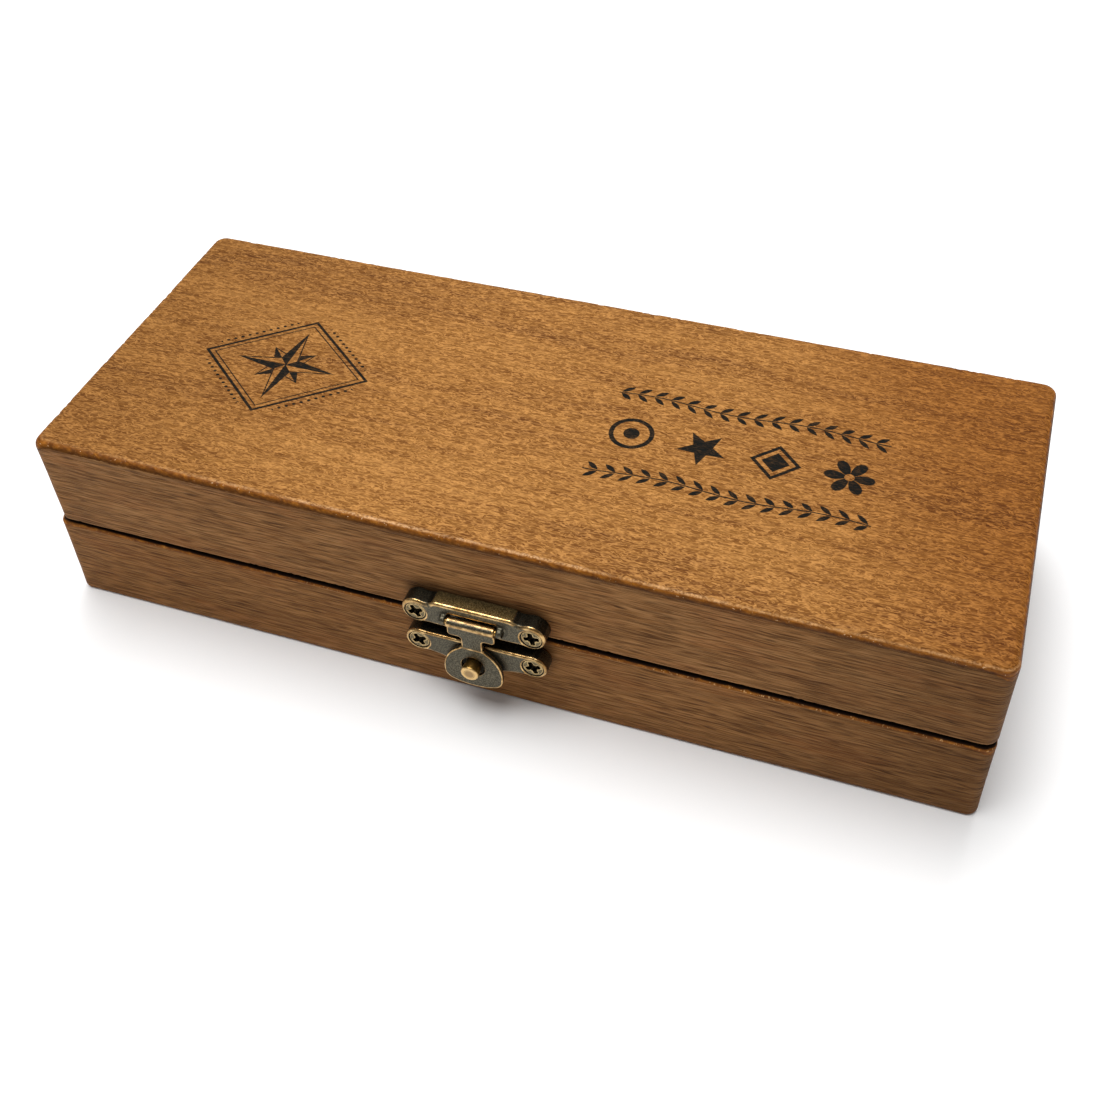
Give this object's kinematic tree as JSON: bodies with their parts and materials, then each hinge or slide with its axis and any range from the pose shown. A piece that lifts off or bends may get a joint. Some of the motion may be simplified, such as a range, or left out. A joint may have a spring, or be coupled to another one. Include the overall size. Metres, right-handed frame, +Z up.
{
  "type": "hinged wooden stamp box",
  "caption": "Long low wooden box with a hinged lid, rounded edges and an antique brass swing hasp latch, for a set of small rubber stamps.",
  "frame": {"origin": "centre of the wooden box's underside, on the surface it stands on", "axes": "+X to the right along the front, +Y from the front to the back, +Z up"},
  "size_m": [0.19, 0.0844, 0.042],
  "materials": {
    "top_wood": "satin stained and lacquered",
    "wall_wood": "satin stained, fine grain",
    "bottom_wood": "matt, thin plywood",
    "antique_brass": "darkened, edges rubbed bright",
    "bright_brass": "aged, lightly rubbed",
    "hinge_brass": "aged",
    "steel_pin": "dull"
  },
  "bodies": {
    "base": {"base_front_wall": "wall_wood", "base_back_wall": "wall_wood", "base_left_end": "wall_wood", "base_right_end": "wall_wood", "base_bottom_board": "bottom_wood", "left_hinge_base_leaf": "hinge_brass", "right_hinge_base_leaf": "hinge_brass", "left_hinge_pin": "steel_pin", "right_hinge_pin": "steel_pin", "hinge_base_nails": "hinge_brass", "latch_keeper_plate": "antique_brass", "latch_keeper_post": "bright_brass", "latch_keeper_screws": "bright_brass"},
    "lid": {"lid_front_wall": "wall_wood", "lid_back_wall": "wall_wood", "lid_left_end": "wall_wood", "lid_right_end": "wall_wood", "lid_top_board": "top_wood", "left_hinge_lid_leaf": "hinge_brass", "right_hinge_lid_leaf": "hinge_brass", "hinge_lid_nails": "hinge_brass", "latch_lid_plate": "antique_brass", "latch_pivot_pin": "bright_brass", "latch_lid_screws": "bright_brass"},
    "tongue": {"latch_tongue": "antique_brass"}
  },
  "joints": [
    {"name": "lid_hinge", "type": "hinge", "parent": "base", "child": "lid", "pos_m": [0, 0.03785, 0.02075], "axis": [-1, 0, 0], "range_deg": [0, 104]},
    {"name": "tongue_pivot", "type": "hinge", "parent": "lid", "child": "tongue", "pos_m": [-0.0006, -0.0426, 0.0241], "axis": [-1, 0, 0], "range_deg": [0, 170]}
  ]
}
